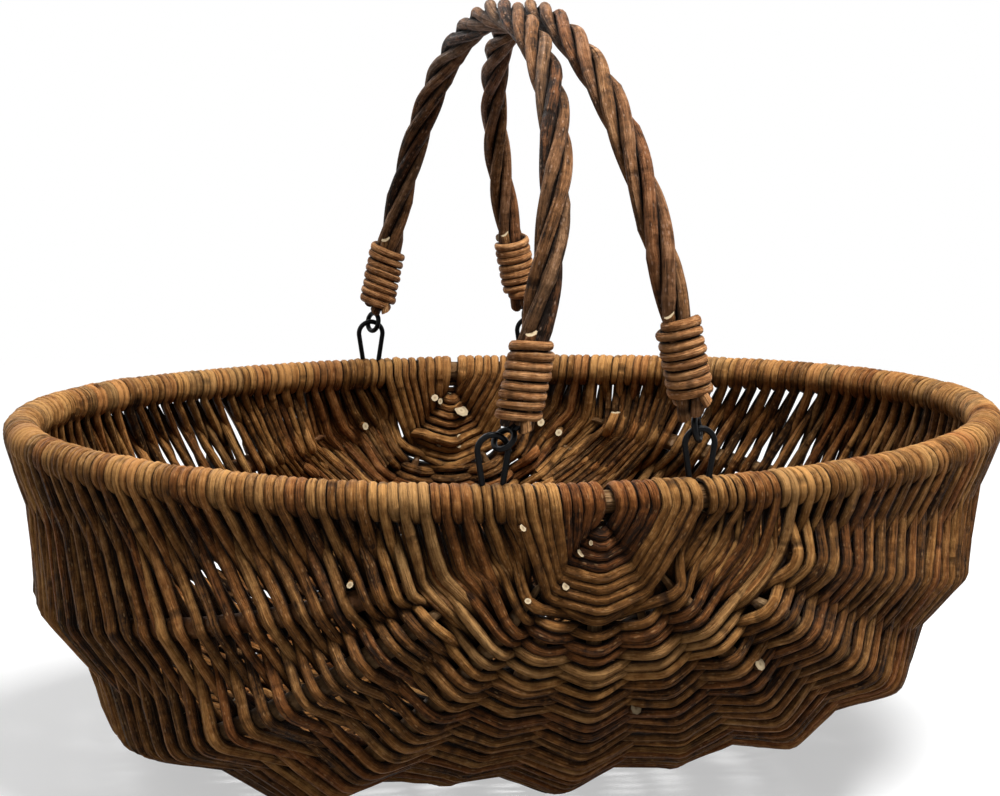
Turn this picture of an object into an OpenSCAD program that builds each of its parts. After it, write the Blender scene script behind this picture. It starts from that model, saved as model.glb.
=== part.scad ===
/* [Rim] */
// Length over the wrapped rim
rim_length = 601; // [540:1:680]
// Width over the wrapped rim
rim_width = 446; // [400:1:500]
// Height of the rim's centre above the floor
rim_height = 200; // [170:1:230]
// How far the rim rises at its two ends
rim_rise = 5; // [0:1:15]
// Thickness of the bare rim hoop
hoop_d = 13; // [10:0.5:16]

/* [Weave] */
// Thickness of a weaving rod
weaver_d = 5.2; // [4:0.1:6]
// Thickness of a rib
rib_d = 12; // [9:0.5:13]
// Size of the woven ear at each side, measured along the keel
ear_size = 48; // [42:1:60]
// Width of the flat worn under each rib that stands on the floor
foot_w = 8; // [5:0.5:9]

/* [Handles] */
// Height of a handle above its hinge line, to the middle of the rods
handle_height = 221; // [180:1:260]
// Squareness of a handle's shoulders, where 2 is a half circle
handle_square = 3.2; // [2:0.1:4]
// Thickness of each handle rod
handle_rod_d = 7; // [5:0.1:8]
// Length in which a handle rod turns once round the handle
handle_lay = 150; // [110:1:220]
// Room between the two handles where they meet at the top
handle_gap = 0.6; // [0.4:0.1:3]
// How much longer each rod end is than the next one
rod_step = 1.5; // [0:0.1:3]
// Thickness of the rod that binds a handle's foot
binding_d = 4.2; // [3:0.1:5]
// Turns in each binding
binding_turns = 8; // [5:1:12]
// Room between one turn of a binding and the next
binding_gap = 0.8; // [0.7:0.1:3]
// Rods left bare below each binding of the right handle
right_bare_end = 9; // [3:0.5:16]
// Rods left bare below each binding of the left handle
left_bare_end = 4; // [3:0.5:16]

/* [Hinges] */
// Distance of each rim loop from the middle of the basket
loop_x = 54.8; // [45:0.1:90]
// Thickness of the black iron wire
wire_d = 3.2; // [2.5:0.1:3.6]
// Bend radius at the top of a rim loop, to the middle of the wire
loop_r = 8; // [7.5:0.1:10]
// Distance between the two legs of a rim loop where they enter the rim
loop_legs = 11; // [9:0.1:15]
// Height of a rim loop above the rim's wrapping
loop_height = 26; // [24:0.5:34]
// Radius of the ring that hangs a handle on its loop, to the middle of the wire
eye_r = 6; // [5.5:0.1:7]
// Turn of that ring out of the handle's own plane
eye_turn = 26; // [0:1:35]
// Length of the ring's shank between the handle rods
shank_length = 40; // [20:1:60]
// Slant of the left handle's front foot round its loop
slid_foot = 35; // [0:1:45]

/* [Hidden] */

// Bark and iron, as the basket shows them
rim_bark = [0.47, 0.33, 0.20];
rib_bark = [0.38, 0.27, 0.17];
weave_bark = [0.42, 0.28, 0.16];
ear_bark = [0.40, 0.27, 0.16];
handle_bark = [0.36, 0.25, 0.17];
binding_bark = [0.50, 0.33, 0.20];
iron = [0.06, 0.06, 0.07];

// The ribs from left to right, between the two halves of the rim. A rib's reach is a share
// of the half length, its drop a share of the height. Three powers give the fullness of its
// curve: sideways, downwards and along the basket's width.
rib_reach = [-0.945, -0.81, -0.53, -0.24, 0, 0.25, 0.50, 0.72, 0.90];
rib_drop = [0.50, 0.84, 1, 0.955, 1, 0.945, 0.90, 0.745, 0.45];
rib_side = [2.3, 3.8, 2.7, 3, 3, 3, 3.1, 3.1, 2.35];
rib_fall = [3.3, 3.8, 3, 3, 3, 3, 3.1, 3.1, 2.7];
rib_bow = [2.3, 2.4, 2.7, 3, 3, 3, 3.1, 3.1, 2.4];
ribs = len(rib_reach);
keel = (ribs - 1) / 2;

// The floor cuts the lowest weave this deep, so that it stands on flats
foot_cut = 1.2;
rim_r = hoop_d / 2 + weaver_d;
rib_r = rib_d / 2;
cover = rib_r + weaver_d;
half_length = rim_length / 2 - rim_r;
half_width = rim_width / 2 - rim_r;

// Points that follow a formula, with their distances along the line
function sum_to(p) = [for (i = 0, s = 0; i < len(p);
  s = s + (i < len(p) - 1 ? norm(p[i + 1] - p[i]) : 0), i = i + 1) s];
function unit(v) = v / norm(v);
function flip(f) = [for (t = f) [t[0], t[2], t[1]]];

// A line over the basket from the front ear to the back ear: 0 and ribs + 1 are the rim
function line_at(i, t) =
  i == 0 || i == ribs + 1
  ? [(i == 0 ? -1 : 1) * half_length * sin(t), -half_width * cos(t),
     rim_height + rim_rise * pow(sin(t), 2)]
  : let (x = half_length * rib_reach[i - 1],
         z = rim_height * rib_drop[i - 1] - cover + (rib_drop[i - 1] == 1 ? foot_cut : 0))
    [x * pow(sin(t), 2 / rib_side[i - 1]),
     -half_width * sign(cos(t)) * pow(abs(cos(t)), 2 / rib_bow[i - 1]),
     rim_height - z * pow(sin(t), 2 / rib_fall[i - 1])];
fine = [for (t = [0:2:180]) t];
lines = [for (i = [0:ribs + 1]) [for (t = fine) line_at(i, t)]];
runs = [for (p = lines) sum_to(p)];

// Rings along each rib, and the share of a rib's length that an ear takes at each end
rings = 21;
keel_length = runs[keel + 1][len(fine) - 1];
ear_share = ear_size / keel_length;
ear_gap = 0.6;
ring_at = [for (k = [0:rings - 1]) ear_share + (1 - 2 * ear_share) * k / (rings - 1)];
// A rib is whittled thinner towards its ends
tip_share = 0.55;
taper_share = 0.13;

// The turn at a share of a line's length
function turn_at(i, s) =
  lookup(s * runs[i][len(fine) - 1], [for (j = [0:len(fine) - 1]) [runs[i][j], fine[j]]]);
function on_line(i, s) = line_at(i, turn_at(i, s));

// The way out of the basket at a line, and the way across to the next line
near = 0.005;
function along(i, s) = unit(on_line(i, s + near) - on_line(i, s - near));
function is_rim(i) = i == 0 || i == ribs + 1;
function across_rim(i) = [0, 0, i == 0 ? -1 : 1];
function outward(i, s) =
  is_rim(i) ? unit(cross(along(i, s), across_rim(i)))
  : unit(cross(along(i, s), on_line(i + 1, s) - on_line(i - 1, s)));
function across(i, s) = cross(outward(i, s), along(i, s));
function thick_at(s) =
  min(1, tip_share + (1 - tip_share) * (min(s, 1 - s) - ear_share) / taper_share);

// A round of n corners about a line, starting on the outer side
function round_at(i, s, r, n) =
  [for (j = [0:n - 1]) on_line(i, s) + r * cos(360 * j / n) * outward(i, s)
    + r * sin(360 * j / n) * across(i, s)];

// Faces between rings of n corners. Pieces that touch split their shared faces alike: a piece
// that lies in another's hollow is split along one diagonal, and the hollow along the other.
function sides(n, count, first = 0, hollow = false, plain = []) =
  [for (k = [0:count - 2], j = [0:n - 1])
    let (a = first + k * n + j, b = first + k * n + (j + 1) % n, c = b + n, d = a + n)
    each hollow && len(search(j, plain)) == 0 ? [[a, b, d], [b, c, d]] : [[a, b, c], [a, c, d]]];
function fan(n) = [for (j = [1:n - 2]) [0, j + 1, j]];
function shift(f, by) = [for (t = f) [t[0] + by, t[1] + by, t[2] + by]];

// A solid lofted through rings, closed at its ends by the given faces
module loft(r, caps, hollow = false, plain = []) {
  n = len(r[0]);
  polyhedron([for (ring = r) each ring],
    concat(sides(n, len(r), 0, hollow, plain), caps, flip(shift(caps, n * (len(r) - 1)))));
}

// The same round a bore
module pipe(outer, inner) {
  n = len(outer[0]);
  m = len(outer);
  end = [for (j = [0:n - 1]) let (a = j, b = (j + 1) % n, c = b + n * m, d = a + n * m)
    each [[a, c, b], [a, d, c]]];
  polyhedron([for (ring = concat(outer, inner)) each ring],
    concat(sides(n, m), flip(sides(n, m, n * m)), end, flip(shift(end, n * (m - 1)))));
}

// The rim: a bent hoop with the weavers' turns wrapped close round it
rim_sides = 8;
hoop_rings = concat([0], ring_at, [1]);

module rim_hoop() {
  left = [for (s = hoop_rings) [0, s]];
  right = [for (k = [len(hoop_rings) - 2:-1:1]) [ribs + 1, hoop_rings[k]]];
  stops = concat(left, right);
  r = [for (p = stops) hoop_ring(p[0], p[1], hoop_d / 2)];
  n = rim_sides;
  last = len(r) - 1;
  closing = [for (j = [0:n - 1])
    let (a = last * n + j, b = last * n + (j + 1) % n, c = (j + 1) % n, d = j)
    each [[a, b, c], [a, c, d]]];
  color(rib_bark) polyhedron([for (ring = r) each ring], concat(sides(n, len(r)), closing));
}

// On the right half the line runs the other way round, so its corners are taken in turn
function hoop_ring(i, s, r) =
  let (p = round_at(i, s, r, rim_sides), n = rim_sides)
  i == 0 ? p : [for (j = [0:n - 1]) p[(n - j) % n]];

module rim_wrap(stops) {
  color(rim_bark) pipe([for (p = stops) hoop_ring(p[0], p[1], rim_r)],
    [for (p = stops) hoop_ring(p[0], p[1], hoop_d / 2)]);
}

module rim_wrap_left() rim_wrap([for (s = ring_at) [0, s]]);
module rim_wrap_right() rim_wrap([for (k = [rings - 1:-1:0]) [ribs + 1, ring_at[k]]]);
module rim_wrap_front() rim_wrap([[ribs + 1, ring_at[0]], [0, 0], [0, ring_at[0]]]);
module rim_wrap_back()
  rim_wrap([[0, ring_at[rings - 1]], [0, 1], [ribs + 1, ring_at[rings - 1]]]);

// Ribs, six sided, from one ear to the other
rib_sides = 6;
module rib(i) {
  color(rib_bark)
    loft([for (s = ring_at) round_at(i, s, rib_r * thick_at(s), rib_sides)], fan(rib_sides));
}

// The floor cuts what reaches below it
function on_floor(p) = [p[0], p[1], max(p[2], 0)];

// A rib's side of a woven strip: four corners from the outer side to the inner one
function channel(i, s, side) =
  let (r = rib_r * thick_at(s), o = r * outward(i, s), a = side * r * across(i, s), p = on_line(i, s))
  [p + o, p + o * cos(60) + a * sin(60), p - o * cos(60) + a * sin(60), p - o];

// The weave's surface over a line, on the outer (1) or inner (-1) side
function over(i, s, face, step) =
  on_line(i, s) + face * (rib_r * thick_at(s) + weaver_d) * outward(i, s)
    + step * foot_w / 2 * thick_at(s) * across(i, s);
function between(i, s, face) =
  (on_line(i, s) + on_line(i + 1, s)) / 2 + face * weaver_d * unit(outward(i, s) + outward(i + 1, s));
function rim_corner(i, s, j) =
  on_line(i, s) + rim_r * (cos(45 * j) * outward(i, s) + sin(45 * j) * across(i, s));

// One strip of weave between line i and line i + 1, cut across at s
function strip_ring(i, s) =
  i == 0
  ? concat([rim_corner(0, s, 1), (2 * rim_corner(0, s, 1) + over(1, s, 1, -1)) / 3,
      (rim_corner(0, s, 1) + 2 * over(1, s, 1, -1)) / 3, over(1, s, 1, -1), over(1, s, 1, 0)],
      channel(1, s, -1),
      [over(1, s, -1, 0), (rim_corner(0, s, 3) + 2 * over(1, s, -1, 0)) / 3,
       rim_corner(0, s, 3), rim_corner(0, s, 2)])
  : i == ribs
  ? concat([over(ribs, s, 1, 0), over(ribs, s, 1, 1),
      (2 * over(ribs, s, 1, 1) + rim_corner(ribs + 1, s, 7)) / 3,
      (over(ribs, s, 1, 1) + 2 * rim_corner(ribs + 1, s, 7)) / 3, rim_corner(ribs + 1, s, 7),
      rim_corner(ribs + 1, s, 6), rim_corner(ribs + 1, s, 5),
      (2 * over(ribs, s, -1, 0) + rim_corner(ribs + 1, s, 5)) / 3, over(ribs, s, -1, 0)],
      [for (j = [3:-1:0]) channel(ribs, s, 1)[j]])
  : concat([over(i, s, 1, 0), over(i, s, 1, 1), between(i, s, 1), over(i + 1, s, 1, -1),
      over(i + 1, s, 1, 0)],
      channel(i + 1, s, -1),
      [over(i + 1, s, -1, 0), between(i, s, -1), over(i, s, -1, 0)],
      [for (j = [3:-1:0]) channel(i, s, 1)[j]]);
strip_end = [[0, 14, 1], [0, 15, 14], [1, 14, 2], [2, 14, 13], [2, 6, 3], [3, 6, 4], [4, 6, 5],
  [2, 7, 6], [2, 10, 7], [2, 13, 10], [7, 9, 8], [7, 10, 9], [10, 13, 11], [11, 13, 12]];
left_end = [[0, 12, 1], [1, 12, 2], [2, 6, 3], [3, 6, 4], [4, 6, 5], [2, 7, 6], [2, 10, 7],
  [2, 12, 10], [7, 9, 8], [7, 10, 9], [10, 12, 11]];
right_end = [[0, 11, 1], [0, 12, 11], [1, 11, 2], [2, 11, 10], [2, 10, 7], [2, 7, 5], [2, 5, 3],
  [3, 5, 4], [5, 7, 6], [7, 10, 8], [8, 10, 9]];

module strip(i) {
  color(weave_bark)
    loft([for (s = ring_at) [for (p = strip_ring(i, s)) on_floor(p)]],
      i == 0 ? left_end : i == ribs ? right_end : strip_end, true, i == ribs ? [] : [4, 8]);
}

// The ear: a fan of tight weave from the strips' ends up to the rim
ear_rows = 4;
ear_inner = 0.25;
function ear_thick(u) = tip_share * rib_r * u + weaver_d;
function ear_point(i, s, face, u, far) =
  let (q = far ? 1 - s : s)
  is_rim(i) ? on_line(i, q) + face * ear_thick(u) * outward(i, q) - [0, 0, rim_r]
  : let (p = on_line(i, q) + face * ear_thick(u) * outward(i, q))
    [p[0], p[1], min(p[2], rim_height - rim_r)];
function ear_row(k, face, order, far) =
  let (u = 1 - (1 - ear_inner) * k / (ear_rows - 1))
  [for (i = order) ear_point(i, (ear_share - ear_gap / keel_length) * u, face, u, far)];
module ear(far) {
  cols = ribs + 2;
  outer = [for (k = [0:ear_rows - 1]) ear_row(k, 1, [0:ribs + 1], far)];
  inner = [for (k = [0:ear_rows - 1]) ear_row(k, -1, [ribs + 1:-1:0], far)];
  r = [for (k = [0:ear_rows - 1]) concat(outer[k], inner[k])];
  end = [for (i = [0:cols - 2]) let (j = 2 * cols - 1 - i) each [[i, j - 1, i + 1], [i, j, j - 1]]];
  faces = concat(sides(2 * cols, ear_rows), end, flip(shift(end, 2 * cols * (ear_rows - 1))));
  color(ear_bark) polyhedron([for (ring = r) each ring], far ? faces : flip(faces));
}

// The iron loops that stand on the rim, their legs driven down through the wrapping
hinge_z = rim_height + rim_r + loop_height - wire_d / 2 - loop_r;
loop_y = half_width * sqrt(1 - pow(loop_x / half_length, 2));
leg_slant = atan((loop_r - loop_legs / 2) / (hinge_z - rim_height - rim_r));
leg_length = (hinge_z - rim_height + hoop_d / 4) / cos(leg_slant);

module rim_loop(side, end) {
  color(iron) translate([side * loop_x, end * loop_y, hinge_z]) rotate([90, 0, 0]) {
    rotate([0, 0, -leg_slant])
      rotate_extrude(angle = 180 + 2 * leg_slant, $fn = 48)
        translate([loop_r, 0]) circle(d = wire_d, $fn = 20);
    for (m = [0, 1])
      mirror([m, 0, 0]) rotate([0, 0, -leg_slant]) translate([loop_r, 0, 0])
        rotate([90, 0, 0]) cylinder(h = leg_length, d = wire_d, $fn = 20);
  }
}

// A handle stands in its own plane on its hinge line, and leans in against the other. Four rods
// are twisted together in it, with room between them for the shank of the iron ring.
handle_rods = 4;
rod_gap = 0.6;
shank_gap = 0.15;
void_r = max((handle_rod_d + rod_gap) / 2 / sin(180 / handle_rods),
  (wire_d + handle_rod_d) / 2 + shank_gap);
bundle_r = void_r + handle_rod_d / 2;
lean = asin((loop_x - bundle_r - handle_gap / 2) / handle_height);
eye_clear = 0.6;
foot = loop_r + eye_r + wire_d / 2 + eye_clear;

// A point of the handle's middle line, measured across, along the width and up its plane
function slide_in(t) = pow(max(0, cos(t)), 1.5);
function arch(t, slid) =
  [slid ? foot * sin(slid_foot) * slide_in(t) : 0, -loop_y * cos(t),
   foot * (slid ? cos(slid_foot * slide_in(t)) : 1)
     + (handle_height - foot) * pow(sin(t), 2 / handle_square)];
leg_turns = [for (q = [0:0.04:0.6]) asin(pow(q, handle_square / 2))];
arch_turns = concat(leg_turns,
  [for (t = [leg_turns[len(leg_turns) - 1] + 2:2:88]) t], [90],
  [for (t = [88:-2:leg_turns[len(leg_turns) - 1] + 2]) 180 - t],
  [for (k = [len(leg_turns) - 1:-1:0]) 180 - leg_turns[k]]);
function arch_table(slid) =
  let (p = [for (t = arch_turns) arch(t, slid)], s = sum_to(p))
  [for (axis = [0:2]) [for (j = [0:len(p) - 1]) [s[j], p[j][axis]]]];
left_table = arch_table(true);
right_table = arch_table(false);
function table(slid) = slid ? left_table : right_table;
function span(slid) = table(slid)[0][len(arch_turns) - 1][0];
function arch_at(s, slid) = [for (axis = table(slid)) lookup(s, axis)];

// A rod that winds round the middle line, as one unbroken tube of six sides
half_mm = 0.5;
function frame_at(s, slid) =
  let (a = arch_at(max(s - half_mm, 0), slid), b = arch_at(min(s + half_mm, span(slid)), slid),
       t = unit(b - a), e = unit(cross(t, [1, 0, 0]))) [cross(e, t), e, t];
function wound(s, r, turn, slid) =
  let (f = frame_at(s, slid)) arch_at(s, slid) + r * (cos(turn) * f[0] + sin(turn) * f[1]);
function tube(p, d) =
  [for (k = [0:len(p) - 1])
    let (t = unit(p[min(k + 1, len(p) - 1)] - p[max(k - 1, 0)]),
         a = unit(cross(t, [1, 0.13, 0.07])), b = cross(a, t))
    [for (j = [0:5]) p[k] + d / 2 * (cos(60 * j) * a + sin(60 * j) * b)]];

module stand(side) {
  translate([side * loop_x, 0, hinge_z]) rotate([0, -side * lean, 0]) mirror([side > 0 ? 1 : 0, 0, 0])
    children();
}

module handle_rod(side, j) {
  slid = side < 0;
  steps = 40;
  hand = side < 0 ? 1 : -1;
  from = rod_step * j;
  to = span(slid) - rod_step * (handle_rods - 1 - j);
  path = [for (k = [0:steps]) let (s = from + (to - from) * k / steps)
    wound(s, void_r, hand * (360 * s / handle_lay + 360 * j / handle_rods), slid)];
  color(handle_bark) stand(side) loft(tube(path, handle_rod_d), fan(6));
}

// A binding: one rod wound close round the foot of a handle, its ends left straight
bound_gap = 0.2;
binding_r = bundle_r + binding_d / 2 + bound_gap;
binding_steps = 11;
binding_pitch = binding_d + binding_gap;
function binding_path(slid, front) =
  let (n = binding_turns * binding_steps,
       from = slid ? left_bare_end : right_bare_end,
       p = [for (k = [0:n]) let (h = from + binding_pitch * k / binding_steps)
         wound(front ? h : span(slid) - h, binding_r, 360 * k / binding_steps, slid)],
       a = unit(p[0] - p[1]), b = unit(p[n] - p[n - 1]))
  concat([p[0] + binding_d * a], p, [p[n] + binding_d * b]);
function least_gap(p) =
  min([for (i = [0:len(p) - 1]) for (j = [i + 8:1:len(p) - 1]) norm(p[i] - p[j])]) - binding_d;

module binding(side, front) {
  path = binding_path(side < 0, front);
  echo(str(side < 0 ? "left" : "right", front ? " front" : " back", " binding, least gap in mm"),
    least_gap(path));
  color(binding_bark) stand(side) loft(tube(path, binding_d), fan(6));
}

// The iron ring round a rim loop, with its shank up between the rods. Where the foot has slid,
// the shank is bent off short.
slid_shank = 4;
module eye(side, end) {
  tilt = side < 0 && end < 0 ? slid_foot : 0;
  color(iron) stand(side) translate([0, end * loop_y, 0]) rotate([0, tilt, 0]) {
    translate([0, 0, loop_r]) rotate([0, 0, eye_turn]) rotate([0, 90, 0])
      rotate_extrude($fn = 48) translate([eye_r, 0]) circle(d = wire_d, $fn = 20);
    translate([0, 0, loop_r + eye_r])
      cylinder(h = foot - loop_r - eye_r + (tilt > 0 ? slid_shank : shank_length), d = wire_d, $fn = 20);
  }
}

rim_hoop();
rim_wrap_front();
rim_wrap_back();
rim_wrap_left();
rim_wrap_right();
rib(keel + 1);  // keel_rib
for (n = [1:keel]) {
  rib(keel + 1 - n);
  rib(keel + 1 + n);
}
for (n = [1:keel + 1]) {
  strip(keel + 1 - n);
  strip(keel + n);
}
ear(false);  // front_ear
ear(true);  // back_ear
rim_loop(-1, -1);  // front_left_loop
rim_loop(1, -1);  // front_right_loop
rim_loop(-1, 1);  // back_left_loop
rim_loop(1, 1);  // back_right_loop
for (n = [1:handle_rods]) {
  handle_rod(-1, n - 1);
  handle_rod(1, n - 1);
}
binding(-1, true);  // left_front_binding
binding(-1, false);  // left_back_binding
eye(-1, -1);  // left_front_eye
eye(-1, 1);  // left_back_eye
binding(1, true);  // right_front_binding
binding(1, false);  // right_back_binding
eye(1, -1);  // right_front_eye
eye(1, 1);  // right_back_eye
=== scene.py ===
# %% Load the fixed frame
import math
import random
from bisect import bisect_left

import bmesh
import bpy
from mathutils import Matrix, Quaternion, Vector


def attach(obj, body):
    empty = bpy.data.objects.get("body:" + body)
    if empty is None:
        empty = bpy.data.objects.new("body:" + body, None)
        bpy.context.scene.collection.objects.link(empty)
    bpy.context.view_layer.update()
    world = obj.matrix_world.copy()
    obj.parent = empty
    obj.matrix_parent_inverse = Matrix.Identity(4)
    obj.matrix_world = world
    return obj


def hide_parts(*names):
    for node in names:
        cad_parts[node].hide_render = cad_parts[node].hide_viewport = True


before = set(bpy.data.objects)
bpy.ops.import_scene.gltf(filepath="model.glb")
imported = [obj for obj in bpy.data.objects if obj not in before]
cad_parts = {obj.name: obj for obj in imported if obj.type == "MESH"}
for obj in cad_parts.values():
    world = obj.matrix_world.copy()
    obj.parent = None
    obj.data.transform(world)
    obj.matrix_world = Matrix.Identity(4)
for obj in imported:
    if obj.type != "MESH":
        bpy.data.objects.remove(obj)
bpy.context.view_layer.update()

# %% [markdown]
# # A two-handled trug of unpeeled willow
# The basket is built on ribs. A thick hoop makes the rim, nine ribs hang from one side of the
# rim to the other, and thin rods are woven over and under the ribs and wound round the rim.
# Two twisted handles swing on iron loops. The solids in the frame have the right places and
# sizes, so this script repeats the same few driving sizes and lays real rods along them.

# %% The driving sizes, in metres
mm = 0.001
rim_length, rim_width = 601 * mm, 446 * mm
rim_height, rim_rise = 200 * mm, 5 * mm
hoop_r = 6.5 * mm
woven_r = 2.6 * mm
rib_r = 6 * mm
half_length = rim_length / 2 - hoop_r - 2 * woven_r
half_width = rim_width / 2 - hoop_r - 2 * woven_r
cover = rib_r + 2 * woven_r
foot_cut = 1.2 * mm

# The ribs from left to right: reach and drop as shares, and three powers for their curves
rib_reach = [-0.945, -0.81, -0.53, -0.24, 0, 0.25, 0.50, 0.72, 0.90]
rib_drop = [0.50, 0.84, 1, 0.955, 1, 0.945, 0.90, 0.745, 0.45]
rib_side = [2.3, 3.8, 2.7, 3, 3, 3, 3.1, 3.1, 2.35]
rib_fall = [3.3, 3.8, 3, 3, 3, 3, 3.1, 3.1, 2.7]
rib_bow = [2.3, 2.4, 2.7, 3, 3, 3, 3.1, 3.1, 2.4]
left_rim, keel, right_rim = 0, 5, 10

# %% [markdown]
# ## The view
# The camera stands where the photographer stood: a little to the left, a little above, and
# rather far off with a long lens, so that the basket hardly tapers. Its numbers came from
# fitting the rim's outline, and they are plain angles and lengths here.

# %% Place the camera
view_turn = math.radians(-12.08)
view_height = math.radians(10.61)
view_roll = math.radians(0.48)
view_distance = 1.4196
look_at = Vector((0, 0, rim_height))

eye_way = Vector((
    math.sin(view_turn) * math.cos(view_height),
    -math.cos(view_turn) * math.cos(view_height),
    math.sin(view_height)))
lens = bpy.data.cameras.new("photo_lens")
lens.lens = 85.08
lens.shift_x = -0.0130
lens.shift_y = 0.0293
camera = bpy.data.objects.new("photo_camera", lens)
camera.rotation_euler = (
    (-eye_way).to_track_quat("-Z", "Y") @ Quaternion((0, 0, 1), view_roll)).to_euler()
camera.location = look_at + view_distance * eye_way
bpy.context.scene.collection.objects.link(camera)
bpy.context.scene.camera = camera
bpy.context.scene.view_settings.view_transform = "Standard"
print("camera at", [round(c, 3) for c in camera.location])

# %% [markdown]
# ## Sockets as numbers
# Shader maths reads best as ordinary arithmetic. A Wire stands for one output socket, and
# each sign between two wires, or between a wire and a number, adds one Math node. Every other
# node comes from one method, which is given its type, its settings and what feeds it.

# %% The wire
class Wire:
    tree = None

    def __init__(self, socket):
        self.socket = socket

    @classmethod
    def node(cls, kind, settings, feeds, out=0):
        made = cls.tree.nodes.new(kind)
        for name, value in settings.items():
            if name == "stops":
                elements = made.color_ramp.elements
                while len(elements) < len(value):
                    elements.new(1.0)
                for stop, (at, colour) in zip(elements, value):
                    stop.position = at
                    stop.color = (*colour, 1)
            else:
                setattr(made, name, value)
        for key, value in feeds.items():
            cls.feed(made.inputs[key], value)
        return cls(made.outputs[out]) if len(made.outputs) else None

    @classmethod
    def feed(cls, socket, value):
        if isinstance(value, Wire):
            cls.tree.links.new(value.socket, socket)
        else:
            socket.default_value = value

    def maths(self, operation, a, b):
        return Wire.node("ShaderNodeMath", {"operation": operation}, {0: a, 1: b})

    def __add__(self, other):
        return self.maths("ADD", self, other)

    def __sub__(self, other):
        return self.maths("SUBTRACT", self, other)

    def __mul__(self, other):
        return self.maths("MULTIPLY", self, other)

    def __rsub__(self, other):
        return self.maths("SUBTRACT", other, self)

    __radd__ = __add__
    __rmul__ = __mul__

    def other(self, out):
        """Another output of the same node."""
        return Wire(self.socket.node.outputs[out])

    def clamped(self, low, high):
        """Nought up to low, one from high on, and a straight rise between them."""
        return Wire.node("ShaderNodeMapRange", {}, {
            "Value": self, "From Min": low, "From Max": high})


def mixed(mask, below, above):
    """Two colours, mixed where the mask says."""
    return Wire.node("ShaderNodeMix", {"data_type": "RGBA", "blend_type": "MIX"},
                     {0: mask, 6: below, 7: above}, out=2)


def ramp(value, *stops):
    """A colour that runs through the stops, each a place and its colour."""
    return Wire.node("ShaderNodeValToRGB", {"stops": stops}, {0: value})


def shade(colour, by):
    """A colour with each of its parts scaled, as numbers alone."""
    return tuple(part * share for part, share in zip(colour, by))


def attribute(name, out):
    return Wire.node("ShaderNodeAttribute", {"attribute_name": name}, {}, out=out)


def bumped(height, strength, distance):
    return Wire.node("ShaderNodeBump", {}, {
        "Strength": strength, "Distance": distance, "Height": height})


def stretched(vector, by):
    return Wire.node("ShaderNodeVectorMath", {"operation": "MULTIPLY"}, {0: vector, 1: by})


def noise(vector, scale, detail=3.0, roughness=0.55):
    return Wire.node("ShaderNodeTexNoise", {}, {
        "Vector": vector, "Scale": scale, "Detail": detail, "Roughness": roughness})


def new_material(name):
    material = bpy.data.materials.new(name)
    material.use_nodes = True
    Wire.tree = material.node_tree
    Wire.tree.nodes.clear()
    return material


def surface(feeds):
    """A Principled surface with these sockets set, wired to the output."""
    shader = Wire.node("ShaderNodeBsdfPrincipled", {}, feeds)
    Wire.node("ShaderNodeOutputMaterial", {}, {"Surface": shader})

# %% [markdown]
# ## Unpeeled bark
# Willow with its bark on is brown, but no two rods are the same brown: some are golden, some
# reddish, some have weathered to a grey green. Each rod carries three numbers for that in its
# "rod" attribute. A second attribute, "grain", is a place on the rod as it grew: across, deep
# and along. Streaks, scars and cracks are drawn in that place, so they run with the rod
# however it bends, and no seam shows.

# %% Marks that run with the rod
# Stretch across, deep and along, then scale, detail, roughness and the band that is kept
marks_drawn = {
    "streaks": ((1, 1, 0.05), 620, 4.0, 0.70, (0.32, 0.68)),
    "fibres": ((1, 1, 0.08), 1900, 3.0, 0.70, (0.30, 0.70)),
    "blotches": ((1, 1, 0.35), 190, 4.0, 0.70, (0.34, 0.66)),
    "mottle": ((0.35, 0.35, 1), 130, 3.0, 0.65, (0.36, 0.64)),
    "ridges": ((1, 1, 0.03), 330, 2.0, 0.55, (0.38, 0.60)),
    "scars": ((0.05, 0.05, 1), 75, 1.0, 0.55, (0.62, 0.70))}
patch_way, patch_scale, patch_detail = (0.4, 0.4, 1), 16, 2.0
fleck_way, fleck_scale, fleck_band = (1, 1, 0.45), 420, (0.26, 0.12)


def marks(grain):
    """Masks from nought to one, long along the rod where the third stretch is small."""
    mark = {name: noise(stretched(grain, way), scale, detail, rough).clamped(*band)
            for name, (way, scale, detail, rough, band) in marks_drawn.items()}
    mark["patches"] = noise(stretched(grain, patch_way), patch_scale, patch_detail)
    mark["flecks"] = Wire.node("ShaderNodeTexVoronoi", {"feature": "F1"}, {
        "Vector": stretched(grain, fleck_way), "Scale": fleck_scale}).clamped(*fleck_band)
    return mark

# %% [markdown]
# ## What colours the bark
# The rod's own tone and all the marks add up to one brightness, which a ramp turns into a
# colour. A second ramp is redder and a third greyer, for rods and places that are so. Near the
# top of the rim the brightness rises with the height: partly real wear from hands and rain,
# partly a painted highlight where the light from above falls on the rim. The gaps between rods
# are darkened with painted shade, which an Ambient Occlusion node finds.

# %% The bark finish
# Heights over which the rim's real wear and painted highlight lighten the bark
wear_and_highlight_from, wear_and_highlight_to = rim_height - 8 * mm, rim_height + 12 * mm
# Painted shade in the gaps: the Ambient Occlusion's reach, and the openness at which the gaps
# are darkest and at which the darkening stops
gap_reach, gap_dark, gap_open = 9 * mm, 0.30, 0.95
bark_depth = 1.2 * mm
bark_rough, streak_sheen, bark_specular = 0.85, 0.46, 0.10


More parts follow.
